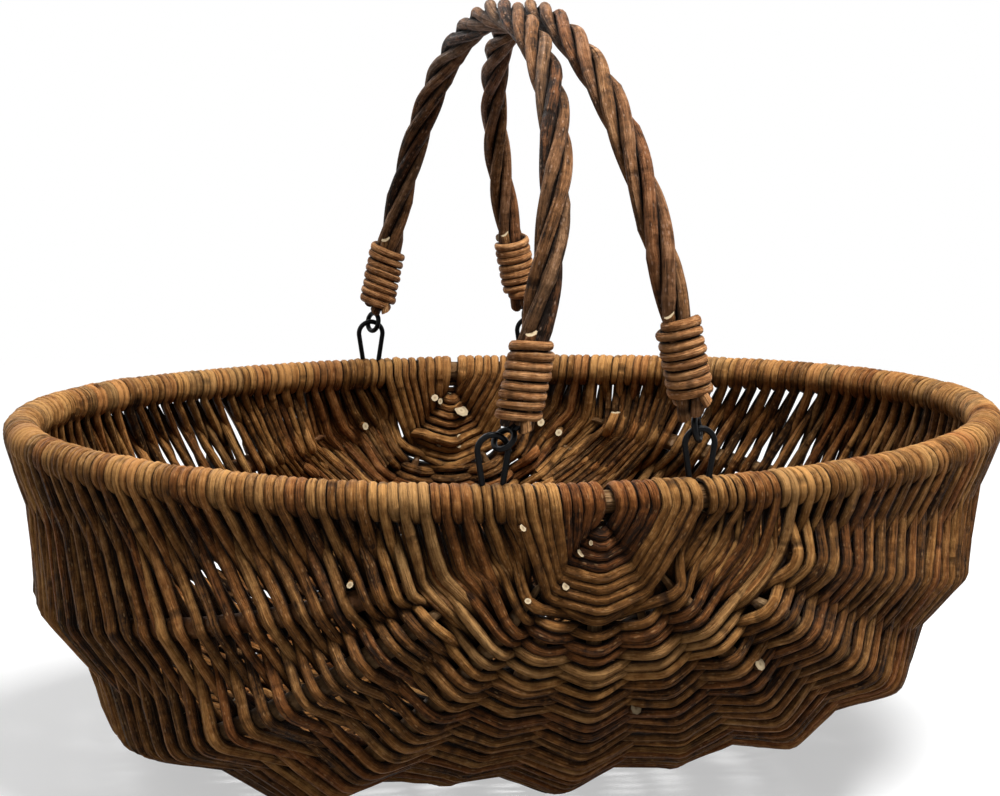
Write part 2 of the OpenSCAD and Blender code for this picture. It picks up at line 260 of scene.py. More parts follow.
def bark(name, dark, light, grey, lift=0.0, gap_shade=1.0):
    """Bark from dark to light, weathered to grey. Lift is added to the brightness, and the last
    argument is how far painted shade darkens the gaps between rods."""
    material = new_material(name)
    grain = attribute("grain", 1)
    tone = Wire.node("ShaderNodeSeparateColor", {}, {0: attribute("rod", 0)})
    warmth, age = tone.other(1), tone.other(2)
    mark = marks(grain)
    place_on = Wire.node("ShaderNodeTexCoord", {}, {}, out=3)
    height = Wire.node("ShaderNodeSeparateXYZ", {}, {0: place_on}, out=2)
    # Real wear and painted highlight: lighter towards the top of the rim
    wear_and_highlight = height.clamped(wear_and_highlight_from, wear_and_highlight_to)
    # Painted shade: how open each place is, found by the Ambient Occlusion
    crevice = Wire.node("ShaderNodeAmbientOcclusion", {"samples": 4}, {"Distance": gap_reach},
                        out=1).clamped(gap_dark, gap_open)

    # The rim's wear and painted highlight add to the brightness near its top
    brightness = (tone * 0.68 + mark["streaks"] * 0.42 + mark["fibres"] * 0.30
                  + mark["blotches"] * 0.40 + mark["mottle"] * 0.28 + mark["ridges"] * 0.16
                  + wear_and_highlight * 0.36 - 0.69 + lift).clamped(0.0, 1.0)
    middle = shade(light, (0.40, 0.33, 0.26))
    brown = ramp(brightness, (0.0, dark), (0.5, middle), (1.0, light))
    red = ramp(brightness, (0.0, dark), (0.5, shade(middle, (0.95, 0.62, 0.6))),
               (1.0, shade(light, (0.85, 0.62, 0.6))))
    colour = mixed(warmth * 0.6, brown, red)
    weathered = (age * 1.1 + mark["patches"] * 1.3 - 1.0).clamped(0.0, 1.0)
    colour = mixed(weathered * 0.6, colour, ramp(
        brightness, (0.0, shade(grey, (0.10, 0.09, 0.08))),
        (0.5, shade(grey, (0.42, 0.40, 0.36))), (1.0, grey)))
    colour = mixed(mark["scars"] * 0.75, colour, (*shade(dark, (0.6, 0.5, 0.5)), 1))
    colour = mixed(mark["flecks"] * (1 - mark["scars"]) * 0.30, colour,
                   (*shade(light, (1.2, 1.4, 2.0)), 1))
    # Painted shade darkens the colour in the gaps between rods
    colour = mixed(gap_shade - gap_shade * crevice, colour, (*shade(dark, (0.4, 0.35, 0.3)), 1))

    relief = (mark["streaks"] * 0.65 + mark["fibres"] * 0.35 + mark["blotches"] * 0.45
              + mark["ridges"] * 0.8 + mark["mottle"] * 0.3 - mark["scars"] * 0.7)
    surface({
        "Base Color": colour, "Roughness": bark_rough - streak_sheen * mark["streaks"],
        "Specular IOR Level": bark_specular, "Normal": bumped(relief, 1.0, bark_depth)})
    return material


weave_bark = bark("weave_bark", (0.014, 0.005, 0.001), (0.52, 0.26, 0.082), (0.29, 0.19, 0.088))
# The ribs are a little lighter, with under half the painted shade in their gaps
rib_bark = bark("rib_bark", (0.04, 0.02, 0.008), (0.46, 0.28, 0.13), (0.34, 0.24, 0.14),
                lift=0.10, gap_shade=0.45)
handle_bark = bark("handle_bark", (0.012, 0.006, 0.003), (0.56, 0.31, 0.15), (0.34, 0.25, 0.16),
                   lift=-0.45)
binding_bark = bark("binding_bark", (0.02, 0.009, 0.003), (0.68, 0.36, 0.15), (0.38, 0.25, 0.13),
                    lift=-0.28)

# %% [markdown]
# ## Cut wood
# Shears leave a pale slanting end on each rod: a ring of wood, a dark pith in its middle and
# an edge of bark. The distance from the rod's middle, in the grain's place, draws all three.

# %% The finish of a cut end
pith_r, bark_edge_r = (1.1 * mm, 0.6 * mm), (2.1 * mm, 2.6 * mm)


def cut_wood(name):
    material = new_material(name)
    flat_grain = stretched(attribute("grain", 1), (1, 1, 0))
    across = Wire.node("ShaderNodeVectorMath", {"operation": "LENGTH"}, {0: flat_grain}, out=1)
    rings = noise(flat_grain, 1800, 2.0)
    wood = mixed(rings, (0.30, 0.22, 0.12, 1), (0.50, 0.40, 0.25, 1))
    colour = mixed(across.clamped(*pith_r) * 0.7, wood, (0.18, 0.11, 0.05, 1))
    colour = mixed(across.clamped(*bark_edge_r) * 0.35, colour, (0.16, 0.10, 0.05, 1))
    surface({"Base Color": colour, "Roughness": 0.75,
             "Normal": bumped(rings, 0.4, 0.4 * mm)})
    return material


cut_end = cut_wood("cut_end")
print("barks:", [m.name for m in bpy.data.materials])

# %% [markdown]
# ## How a rod grew
# A willow rod isn't a pipe. It swells at every knot where a leaf stood, wavers a little
# between them, and is oval rather than round. Two slow sine waves and a bump at each knot say
# how thick the rod is at each place, and a third wave how flat.

# %% Knots and swellings
chance = random.Random(11)
first_knot, next_knot = (10, 60), (35, 110)
knot_length, knot_swell = 3 * mm, 0.13
long_wave, long_swell = 11 * mm, 0.035
short_wave, short_swell = 4.3 * mm, 0.02
oval_wave, oval = 37 * mm, 0.07


class Growth:
    """How one rod swells, flattens and knuckles along its length."""

    def __init__(self, total):
        self.phases = [chance.uniform(0, math.tau) for _ in range(3)]
        self.knots, at = [], chance.uniform(*first_knot) * mm
        while at < total:
            self.knots.append(at)
            at += chance.uniform(*next_knot) * mm

    def swell(self, run):
        knot = max((math.exp(-((run - at) / knot_length) ** 2) for at in self.knots), default=0)
        return (1 + long_swell * math.sin(run / long_wave + self.phases[0])
                + short_swell * math.sin(run / short_wave + self.phases[1]) + knot_swell * knot)

    def flat(self, run):
        return oval * math.sin(run / oval_wave + self.phases[2])

# %% [markdown]
# ## One rod
# A rod is a ring of eight corners that is pushed out along a line, ring by ring. The rings
# turn with the line without twisting. Where a rod is wound round something it is pressed
# flatter, as soaked willow is. The first and last rings are tilted, as a slanting cut leaves
# them.

# %% Where each ring stands
rod_sides = 8
slant = 0.7
pressed_to = 0.74


def rings_along(path, radius_at, growth, total, pressed):
    """For each point of the path: the ring's matrix, its radius and the length run so far."""
    ways = [(path[min(k + 1, len(path) - 1)] - path[max(k - 1, 0)]).normalized()
            for k in range(len(path))]
    side, run = ways[0].orthogonal().normalized(), 0.0
    for k, (point, way) in enumerate(zip(path, ways)):
        if k:
            run += (point - path[k - 1]).length
            side = ways[k - 1].rotation_difference(way) @ side
            side = (side - way * side.dot(way)).normalized()
        radius = radius_at(run / total) * growth.swell(run)
        tilt = slant if k in (0, len(path) - 1) else 0.0
        across = side * radius * (1 + growth.flat(run)) + way * (tilt * radius)
        deep = way.cross(side) * radius * (1 - growth.flat(run))
        onto = pressed(k, point) if pressed else None
        if onto:
            across, deep = (v - (1 - pressed_to) * onto * v.dot(onto) for v in (across, deep))
        here = Matrix((across, deep, way * radius)).transposed().to_4x4()
        here.translation = point
        yield here, radius, run

# %% [markdown]
# ## Growing the rod's mesh
# Extruding a ring's edges keeps each corner's attributes, so the grain only needs its length
# added at every step. The two ends are filled with one face each, of pale wood, and their
# edges are sharp.

# %% Laying one rod
longest_tree = 50


def lay_rod(name, path, radius_at, character, sides=rod_sides, pressed=None):
    """A rod along a path of points. radius_at is given the share of the rod's length, and
    pressed gives the way in which the rod is pressed flat at a point's number and place."""
    bm = bmesh.new()
    grain = bm.verts.layers.float_vector.new("grain")
    rod = bm.verts.layers.float_color.new("rod")
    total = sum((b - a).length for a, b in zip(path, path[1:]))
    growth, start_run = Growth(total), chance.uniform(0, longest_tree)
    placed = None
    for here, radius, run in rings_along(path, radius_at, growth, total, pressed):
        if placed is None:
            ring = bmesh.ops.create_circle(bm, segments=sides, radius=1.0, matrix=here)["verts"]
            first = edges = bm.edges[:]
            for corner in ring:
                local = here.inverted() @ corner.co
                corner[grain] = (local.x * radius, local.y * radius, start_run)
                corner[rod] = (*character, 1.0)
        else:
            grown = bmesh.ops.extrude_edge_only(bm, edges=edges)["geom"]
            ring = [g for g in grown if isinstance(g, bmesh.types.BMVert)]
            outer = set(ring)
            edges = [g for g in grown if isinstance(g, bmesh.types.BMEdge)
                     and g.verts[0] in outer and g.verts[1] in outer]
            bmesh.ops.transform(bm, matrix=here @ placed.inverted(), verts=ring)
            for corner in ring:
                corner[grain].z = start_run + run
        placed = here
    for face in bm.faces:
        face.smooth = True
    for end in (first, edges):
        for face in bmesh.ops.edgeloop_fill(bm, edges=end)["faces"]:
            face.material_index = 1
            face.smooth = False
        for edge in end:
            edge.smooth = False
    bmesh.ops.recalc_face_normals(bm, faces=bm.faces)
    mesh = bpy.data.meshes.new(name)
    bm.to_mesh(mesh)
    bm.free()
    return bpy.data.objects.new(name, mesh)


def bundle(name, rods, material, body, nodes):
    """Joins rods into one piece, gives it its bark and hangs it on its body."""
    for rod in rods:
        bpy.context.scene.collection.objects.link(rod)
        rod.data.materials.append(material)
        rod.data.materials.append(cut_end)
    with bpy.context.temp_override(active_object=rods[0], selected_editable_objects=rods):
        bpy.ops.object.join()
    piece = rods[0]
    piece.name = piece.data.name = name
    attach(piece, body)
    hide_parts(*nodes)
    print(name, len(piece.data.polygons), "faces", [m.name for m in piece.data.materials])

# %% [markdown]
# ## The lines of the basket
# Eleven lines run from the front ear to the back ear: the two halves of the rim and the nine
# ribs between them. Each is a rounded curve between the ears, written as powers of a sine and a
# cosine. A table of each line's length lets a weaver ask for a place by its distance.

# %% Points on the lines
class Course:
    """A curve that is measured once and then asked by distance from its front end."""

    def measure(self, turns):
        self.turns, self.points = turns, [self.at_turn(t) for t in turns]
        self.run = [0.0]
        for a, b in zip(self.points, self.points[1:]):
            self.run.append(self.run[-1] + (b - a).length)
        self.length = self.run[-1]

    def found(self, distance):
        """The number of the next measured point, and the share of the way to it."""
        distance = min(max(distance, 0.0), self.length)
        k = min(max(bisect_left(self.run, distance), 1), len(self.run) - 1)
        low, high = self.run[k - 1], self.run[k]
        return k, 0.0 if high == low else (distance - low) / (high - low)


class Line(Course):
    """One line from ear to ear."""

    steps = 120

    def __init__(self, number):
        self.number = number
        self.measure([math.pi * k / self.steps for k in range(self.steps + 1)])

    def at_turn(self, turn):
        s, c = math.sin(turn), math.cos(turn)
        if self.number in (left_rim, right_rim):
            side = -1 if self.number == left_rim else 1
            return Vector((side * half_length * s, -half_width * c,
                           rim_height + rim_rise * s * s))
        n = self.number - 1
        deep = rim_height * rib_drop[n] - cover + (foot_cut if rib_drop[n] == 1 else 0)
        s = max(s, 0.0)   # the sine of a half turn can fall just short of nought
        return Vector((half_length * rib_reach[n] * s ** (2 / rib_side[n]),
                       -half_width * math.copysign(abs(c) ** (2 / rib_bow[n]), c),
                       rim_height - deep * s ** (2 / rib_fall[n])))

    def at(self, distance):
        k, share = self.found(distance)
        return self.at_turn(self.turns[k - 1] + share * (self.turns[k] - self.turns[k - 1]))

    def along(self, distance):
        near = 3 * mm
        return (self.at(distance + near) - self.at(distance - near)).normalized()


lines = [Line(number) for number in range(right_rim + 1)]
print("lengths of the lines in mm:", [round(line.length / mm) for line in lines])


def outward(number, distance):
    """The way out of the basket, square to a line."""
    line = lines[number]
    if number in (left_rim, right_rim):
        down = Vector((0, 0, -1 if number == left_rim else 1))
        return line.along(distance).cross(down).normalized()
    share = distance / line.length
    before, after = lines[number - 1], lines[number + 1]
    chord = after.at(share * after.length) - before.at(share * before.length)
    return line.along(distance).cross(chord).normalized()


# The ribs are whittled thinner towards their ends, and the ears cover their first stretch
whittled = 0.55
whittled_over = 90 * mm
ear_reach = 48 * mm


def rib_thickness(number, distance):
    line = lines[number]
    inside = min(distance, line.length - distance) - ear_reach
    return rib_r * min(1.0, max(whittled, whittled + (1 - whittled) * inside / whittled_over))

# %% [markdown]
# ## How the weavers run
# The weaving starts at an ear and goes on in rows that cross rib after rib. Along each line
# the rows lie close together near the ears and wider in the middle, where the basket is
# deepest. The outer ribs were pushed in later, so the first rows only pass by where those ribs
# will begin. A little jitter keeps any two crossings from being alike.

# %% Where each row meets each line
weaver_r = 2.95 * mm
bent_hoop_r = 6.7 * mm
wrap_r = bent_hoop_r + pressed_to * weaver_r
rows = 133
late_row = 11
first_at = [46, 45.5, 46.5, 59, 62, 62, 62, 59, 48, 47.5, 51.5]
late_at = {1: 107, 2: 100, 8: 105, 9: 115}
closer = [0, 0.29, 0.30, 0.25, 0.26, 0.25, 0.26, 0.23, 0.24, 0.22, 0]
wrap_pitch = (lines[0].length - 2 * first_at[0] * mm) / (rows - 1)
print("turns round the rim are", round(wrap_pitch / mm, 2), "mm apart")


def place(number, row):
    """How far along a line a row crosses it. Rows lie closer near the ears than between."""
    line, first = lines[number], first_at[number] * mm
    if number in late_at:
        late = late_at[number] * mm
        if row < late_row:
            return first + (late - first) * row / late_row
        first, share = late, (row - late_row) / (rows - 1 - 2 * late_row)
    else:
        share = row / (rows - 1)
    share -= closer[number] * math.sin(math.tau * share) / math.tau
    return first + (line.length - 2 * first) * share


def jitter(size):
    return chance.gauss(0, size * mm)

# %% [markdown]
# ## Turns round the rim
# At each rim a rod climbs one face, winds once more round the hoop and leaves on the other
# face, so the turns lie close together all round the rim. A turn is laid in steps of an angle
# round the hoop. Wound rods lie pressed against it, so the way off the hoop is found for them.

# %% Winding round the rim
ear_out, ear_in = math.radians(-20), math.radians(190)
leave_out, leave_in = math.radians(-25), math.radians(235)
early_out, early_in = math.radians(-40), math.radians(240)
turn_step = math.radians(38)
near_hoop = 1.12 * wrap_r
begin_stray, forward_stray = 0.25, 0.3


def rim_point(number, distance, angle):
    """A point on a turn round the rim: 0 is outside, a quarter turn on is the top."""
    out = outward(number, distance)
    return lines[number].at(distance) + wrap_r * (
        math.cos(angle) * out + math.sin(angle) * Vector((0, 0, 1)))


def pressed_on_rim(number, point):
    """The way from the hoop to a rod that is wound round it, or None away from the hoop."""
    line = lines[left_rim if point.x < 0 else right_rim]
    turn = math.atan2(abs(point.x) / half_length, -point.y / half_width)
    middle, near = line.at_turn(turn), 0.01
    along = (line.at_turn(turn + near) - line.at_turn(turn - near)).normalized()
    away = point - middle
    away -= along * away.dot(along)
    return away.normalized() if away.length < near_hoop else None


def turn_round_rim(number, begin, start, finish, forward=None):
    """From angle to angle round the rim, one wrap pitch along it for each whole turn."""
    steps = round(abs(finish - start) / turn_step)
    begin += jitter(begin_stray)
    forward = forward or wrap_pitch * abs(finish - start) / math.tau + jitter(forward_stray)
    return [(rim_point(number, begin + forward * k / steps,
                       start + (finish - start) * k / steps), None) for k in range(steps + 1)]


def next_row(number, row):
    """Round the rim from one row's end to the next row's start."""
    start, finish = (early_out, early_in) if row < late_row else (leave_out, leave_in)
    if number == left_rim:
        return turn_round_rim(number, place(number, row), start, finish + math.tau)
    return turn_round_rim(number, place(number, row), finish, start - math.tau)

# %% [markdown]
# ## One row
# A row goes over one rib and under the next, and the next row the other way. The first two
# rows skip the ribs beside the keel, and all rows of the start skip the outer ribs, which
# aren't there yet. At each rib three points lift the rod over it: on the rib and at both
# sides. The middle point is marked, because a rod may end there.

# %% One row across the ribs
few = [0, 3, 5, 7, 10]
more = [0, 3, 4, 5, 6, 7, 10]
every = list(range(11))
outermost = (1, 9)
outermost_lean, later_lean = 1.2, 0.4
crossing_stray = 0.8
hump = ((-1, 0.78), (0, 1), (1, 0.78))
hump_width, hump_room = 0.62, 0.35


def row_path(row):
    """The crossings of one row from the left rim to the right, each with its outer side."""
    met = few if row < 2 else more if row < late_row else every
    passed = [n for n in every if n in met or n in late_at]
    stops = [lines[n].at(place(n, row) + jitter(crossing_stray)) for n in passed]
    path = []
    for k in range(1, len(passed) - 1):
        number = passed[k]
        distance = place(number, row)
        way = (stops[k + 1] - stops[k - 1]).normalized()
        face = outward(number, distance)
        face = (face - way * face.dot(way)).normalized()
        if number not in met:
            lean_by = outermost_lean if number in outermost else later_lean
            lean_out = (1 if row % 2 == 0 else -1) * lean_by * mm
            path.append((stops[k] + lean_out * face, None))
            continue
        out = 1 if (met.index(number) + row) % 2 == 0 else -1
        high = rib_thickness(number, distance) + weaver_r
        room = hump_room * min((stops[k] - stops[k - 1]).length,
                               (stops[k + 1] - stops[k]).length)
        wide = min(hump_width * high, room)
        for step, share in hump:
            point = stops[k] + out * share * high * face + step * wide * way
            path.append((point, (out, out * face) if step == 0 else None))
    return path

# %% [markdown]
# ## The ear
# The first rods make nested U shapes: down from the rim, round under the keel rib and up to
# the rim again, one set outside the keel and one inside it. That binds hoop and keel together
# before any weaving can start. Each U lies lower and reaches wider than the one before.

# %% One U of the ear
ear_arcs = 8
ear_left = [0.1 + 5.9 * j for j in range(ear_arcs)]
ear_right = [7.6 + 5.7 * j for j in range(ear_arcs)]
ear_side = [6.5, 10.0, 13.2, 16.2, 19.0, 21.6, 24.0, 26.2]
ear_side_deep = [14.0 + 5.0 * j for j in range(ear_arcs)]
ear_keel_deep = [16.5 + 5.8 * j for j in range(ear_arcs)]
inner_side_drop, inner_keel_drop = 2.6, 2.9
out_high, out_low, out_keel = 5.2, 3.6, 6.1
ear_stray = 0.2


def ear_arc(j, layer):
    """From the left rim to the right rim, outside (1) or inside (-1)."""
    wide, side_deep, keel_deep = ear_side[j], ear_side_deep[j], ear_keel_deep[j]
    if layer < 0:
        side_deep, keel_deep = side_deep + inner_side_drop, keel_deep + inner_keel_drop

    def at(across, deep, out):
        return (Vector((across * mm + jitter(ear_stray), -half_width - layer * out * mm,
                        rim_height - deep * mm + jitter(ear_stray))), None)

    down = [at(-(ear_left[j] * 0.3 + wide * 0.7), side_deep * 0.75, out_high),
            at(-wide, side_deep, 0), at(-wide * 0.5, (side_deep + keel_deep) / 2, out_low)]
    up = [at(wide * 0.5, (side_deep + keel_deep) / 2, out_low), at(wide, side_deep, 0),
          at(ear_right[j] * 0.3 + wide * 0.7, side_deep * 0.75, out_high)]
    middle, mark = at(1, keel_deep, out_keel)
    if layer < 0:
        mark = (-1, Vector((0, 1, 0)))
    return down + [(middle, mark)] + up

# %% [markdown]
# ## The long way
# One half of the basket is a single path: the ear's turns, then row after row to the middle.
# Points are easier to change than a mesh, so nothing is modelled until the way is known.

# %% The long way of one half of the basket
def half_course(row_count):
    """The weavers' one long way from an ear to the middle of the basket."""
    path = [(rim_point(right_rim, ear_right[0] * mm, leave_in), None)]
    for j in range(ear_arcs):
        path += turn_round_rim(right_rim, ear_right[j] * mm, ear_in, ear_out)
        path += reversed(ear_arc(j, 1))
        path += turn_round_rim(left_rim, ear_left[j] * mm, ear_out, ear_in)
        path += ear_arc(j, -1)
    path += turn_round_rim(right_rim, place(right_rim, -1), ear_in, early_out, wrap_pitch)
    for row in range(row_count):
        crossings = row_path(row)
        rim = left_rim if row % 2 == 0 else right_rim
        path += (reversed(crossings) if rim == left_rim else crossings)
        path += next_row(rim, row)
    return path

# %% [markdown]
# ## Cutting the long way into rods
# A willow rod is only a little over a metre long, thick at the butt and thin at the tip. A
# new rod begins where the last one ends, beside it on the same rib, and its cut butt shows.
# So the long way is cut where it crosses a rib, mostly on the inner side, as a basket maker
# does it, and the new rod starts one thickness away. Then the corners of each rod are eased
# and its straight runs get a slight waver, because willow never grows quite straight.

# %% Rods from a course
usual_tone, tone_spread, darkest = 0.50, 0.23, 0.05
corner_cut, corner_share = 2.4 * mm, 0.3
longest_straight, shortest_piece = 11 * mm, 0.3 * mm
bow_size, waver_size = 0.3, 0.12


def character():
    """Tone, warmth and age of one rod."""
    tone = min(max(chance.gauss(usual_tone, tone_spread), darkest), 1.0)
    return tone, chance.random() ** 3, chance.random() ** 1.8


def strayed(size):
    return Vector((jitter(size), jitter(size), jitter(size)))


def eased(points):
    """Cuts the corners of a path and puts wavering points into its long runs."""
    full = [points[0]]
    for k in range(1, len(points)):
        a, b = points[k - 1], points[k]
        length = (b - a).length
        if length < shortest_piece:
            continue
        cut = min(corner_share * length, corner_cut) / length
        begin = a if k == 1 else a.lerp(b, cut)
        end = b if k == len(points) - 1 else a.lerp(b, 1 - cut)
        if k > 1:
            full.append(begin)
        between = math.ceil((end - begin).length / longest_straight)
        bow = strayed(bow_size)
        for n in range(1, between):
            share = n / between
            stray = bow * math.sin(math.pi * share)
            full.append(begin.lerp(end, share) + stray + strayed(waver_size))
        full.append(end)
    return full


def on_floor(points):
    return [Vector((p.x, p.y, max(p.z, weaver_r))) for p in points]

# %% [markdown]
# ## Where a rod ends
# A rod ends on a rib, on the inner side, once it is long enough. The next one begins a little
# way back, raised by almost its own thickness, so the two butts lie beside each other. A rod
# is thicker at its butt than at its tip, and a little thicker for the basket's middle.

# %% Cutting the path
first_rod, next_rod = (0.6, 1.3), (0.95, 1.45)
butt_share, tip_share = (1.04, 1.18), (0.82, 0.95)
thicker_inside = 0.10
ends_outside = 0.10
beside = 1.9 * weaver_r
butt_back, butt_raised, next_raised = 1.2, 0.8, 0.7


def new_start(before, point, lift):
    """The first points of the rod that follows, beside the one that ends at this point."""
    return [before + (before - point) * butt_back + lift * butt_raised, before + lift,
            point + lift * next_raised]


def cut_into_rods(name, path):
    rods, points, run = [], [path[0][0]], 0.0
    wanted = chance.uniform(*first_rod)
    for k in range(1, len(path)):
        point, mark = path[k]
        run += (point - path[k - 1][0]).length
        points.append(point)
        last = k == len(path) - 1
        if last or (run > wanted and mark and (mark[0] < 0 or chance.random() < ends_outside)):
            thick = 1 + thicker_inside * k / len(path)
            butt, tip = thick * chance.uniform(*butt_share), thick * chance.uniform(*tip_share)
            rods.append(lay_rod(
                f"{name}_{len(rods)}", on_floor(eased(points)),
                lambda s, a=butt, b=tip: weaver_r * (a + (b - a) * s),
                character(), pressed=pressed_on_rim))
            if last:
                break
            points = new_start(path[k - 1][0], point, beside * mark[1])
            run, wanted = 0.0, chance.uniform(*next_rod)
    return rods


def to_side(path, side):
    """The path at the front (1), or mirrored to the back (-1)."""
    return [(Vector((p.x, side * p.y, p.z)), mark and (mark[0], Vector(
        (mark[1].x, side * mark[1].y, mark[1].z)))) for p, mark in path]

# %% [markdown]
# ## Packing rods, pegs and cut ends
# Rows that fan out leave gaps. A basket maker packs those with short thin rods, beside the
# ears and at the basket's two ends: each runs between two rows, from the rim to the ribs
# beside the keel. Small pegs close the gap in each ear. The pale cut ends in the photograph
# are short rods of their own, and their places are written down.

# %% Packing, pegs and cut ends
packed_rows, packer_r = [*range(21), *range(40, 67)], 2.3 * mm
crossing_from = 40
packer_stray = 0.5
peg_depths, peg_r, peg_tuck = (8, 12.5), 2.0 * mm, 1.5 * mm
peg_across = (-8, -2, 3, 9)
end_length, end_bend, end_out = 13, 6, 1.2
# Where a cut end shows, in mm, and its radius: outside on the front, inside on the back
front_ends = [(-10.2, -215.8, 174.8, 2.3), (-17.8, -215.4, 157.5, 2.2),
              (-5.3, -217.2, 180.2, 1.3), (-38.4, -218.3, 151.3, 1.7),
              (-41.5, -219.1, 190.0, 2.0), (26.2, -195.3, 83.5, 3.2),
              (90.8, -207.0, 107.7, 3.6), (-128, -203, 160, 1.6), (140, -196, 150, 1.6)]
back_ends = [(7.2, 204.5, 174.0, 5.0), (-11.8, 201.7, 183.8, 2.4), (-7.5, 204.3, 180.8, 2.0),
             (-8.8, 205.0, 151.4, 2.6), (6.1, 203.5, 154.9, 2.6), (5.0, 204.6, 149.8, 2.2),
             (62, 199, 165, 2.6), (74, 196, 158, 2.2), (-60, 199, 166, 2.4)]


def packing():
    """Thin rods between the rows, each as its points and its radius."""
    rods = []
    for rim, passed in ((left_rim, (1, 2, 3)), (right_rim, (9, 8, 7))):
        for row in packed_rows:
            between = row + 0.5
            points = [lines[rim].at(place(rim, between)) - Vector((0, 0, bent_hoop_r + mm))]
            for k, n in enumerate(passed):
                distance = place(n, between)
                is_rib = n in (3, 7) or row >= late_row
                inward = (rib_thickness(n, distance) + packer_r if is_rib
                          else jitter(packer_stray))
                if row >= crossing_from and (row + k) % 2:
                    inward = -inward
                points.append(lines[n].at(distance) - inward * outward(n, distance))
            rods.append((points, packer_r))
    return rods


def pegs():
    """Short pegs straight across the gap of the front ear."""
    return [([Vector((x * mm, -half_width + peg_tuck, rim_height - depth * mm))
              for x in peg_across], peg_r) for depth in peg_depths]


def short_rods(ends):
    """The short lengths of rod whose cut ends show, leaning into the weave."""
    rods = []
    for x, y, z, radius in ends:
        tip = Vector((x, y - end_out, z)) * mm
        lean = Vector((chance.uniform(-0.35, 0.35), 1, chance.uniform(-0.5, 0.1))).normalized()
        rods.append(([tip + lean * end_length * mm, tip + lean * end_bend * mm, tip],
                     radius * mm))
    return rods


def stuffing(side, ends):
    """All the short rods of one half, laid."""
    paths = [([Vector((p.x, side * p.y, p.z)) for p in points], radius)
             for points, radius in packing() + pegs()]
    return [lay_rod("short", eased(points), lambda s, r=radius: r, character())
            for points, radius in paths + short_rods(ends)]

# %% [markdown]
# ## Both halves
# The back is the front's mirror, one row shorter, with its own random draws. Each half is one
# piece on the basket and replaces the solids of the weave, the wrapping and its own ear.

# %% Weaving the basket
weave_nodes = [f"{side}_weave_{n}" for side in ("left", "right") for n in range(1, 6)]
wrap_nodes = [f"rim_wrap_{side}" for side in ("front", "back", "left", "right")]
for word, row_count, side, ends in (("front", rows // 2 + 1, 1, front_ends),
                                    ("back", rows // 2, -1, back_ends)):
    rods = cut_into_rods(word + "_weaver", to_side(half_course(row_count), side))
    rods += stuffing(side, ends)
    bundle(word + "_weaving", rods, weave_bark, "basket",
           weave_nodes + wrap_nodes + [word + "_ear"])

# %% [markdown]
# ## The ribs and the hoop
# Nine thick rods carry the weave. The keel and its two side ribs reach right into the ears.
# The others were pushed in later, so their ends are sharpened and lie tucked inside the first
# rows. The hoop is one thicker rod, bent right round. It shows only where the turns part.

# %% Ribs and hoop
rib_from = [94, 88, 44, 50, 12, 50, 44, 92, 102]
rib_steps, rib_sides, hoop_stops, hoop_sides = 64, 14, 48, 12
point_length, point_share, point_tuck = 34 * mm, 0.22, 1.5 * mm
hoop_share, hoop_character = 0.96, (0.2, 0.2, 0.2)
rib_names = [f"left_rib_{n}" for n in (4, 3, 2, 1)] + ["keel_rib"] + [
    f"right_rib_{n}" for n in (1, 2, 3, 4)]


def along_rib(number, part, whole=1):
    """Distance along the rib's line, and how far inside the rib's own end that is."""
    line, start = lines[number], rib_from[number - 1] * mm
    distance = start + (line.length - 2 * start) * part / whole
    return distance, min(distance, line.length - distance) - start


def rib_path(number):
    path = []
    for k in range(rib_steps + 1):
        distance, inside = along_rib(number, k, rib_steps)
        tucked = max(0.0, 1 - inside / point_length) if number != keel else 0.0
        path.append(lines[number].at(distance) - outward(number, distance) * tucked * point_tuck)
    return path


def sharpened(number, share):
    """A rib's radius: whittled towards its ends, and cut to a point at all but the keel's."""
    distance, inside = along_rib(number, share)
    point = 1.0 if number == keel else min(1.0, point_share + (1 - point_share)
                                           * inside / point_length)
    return rib_thickness(number, distance) * point


def hoop_path():
    """Right round the rim, beginning and ending at its right end."""
    stops, right, left = hoop_stops, lines[right_rim], lines[left_rim]
    path = [right.at_turn(math.pi / 2 * (1 - k / stops)) for k in range(stops)]
    path += [left.at_turn(math.pi * k / stops / 2) for k in range(2 * stops)]
    return path + [right.at_turn(math.pi * (1 - k / stops / 2)) for k in range(stops + 1)]


hoop = lay_rod("hoop", hoop_path(), lambda s: hoop_share * bent_hoop_r, hoop_character,
               sides=hoop_sides)
bundle("bent_hoop", [hoop], rib_bark, "basket", ["rim_hoop"])
for number, name in enumerate(rib_names, 1):
    rib = lay_rod(name, rib_path(number), lambda s, n=number: sharpened(n, s),
                  character(), sides=rib_sides)
    bundle(name + "_rod", [rib], rib_bark, "basket", [name])

# %% [markdown]
# ## The handles
# Each handle is four rods laid up like a rope. The arch stands on its hinge line and leans in
# until the two handles touch at the top. The front foot of the left handle has slid round its
# iron loop, as it stands in the photograph.

# %% The arch of a handle
loop_x = 54.8 * mm
loop_y = half_width * math.sqrt(1 - (loop_x / half_length) ** 2)
wire_r = 1.6 * mm
loop_r, loop_height = 8 * mm, 26 * mm
eye_r, eye_clear = 6 * mm, 0.6 * mm
hinge_z = rim_height + hoop_r + 2 * woven_r + loop_height - wire_r - loop_r
handle_height, handle_square = 221 * mm, 3.2
handle_rod_r, handle_rods, handle_lay = 3.5 * mm, 4, 150 * mm
rod_gap, shank_gap, rod_step, handle_gap = 0.6 * mm, 0.15 * mm, 1.5 * mm, 0.6 * mm
void_r = max((handle_rod_r + rod_gap / 2) / math.sin(math.pi / handle_rods),
             wire_r + handle_rod_r + shank_gap)
bundle_r = void_r + handle_rod_r
lean = math.asin((loop_x - bundle_r - handle_gap / 2) / handle_height)
foot = loop_r + eye_r + wire_r + eye_clear
slid_foot = math.radians(35)


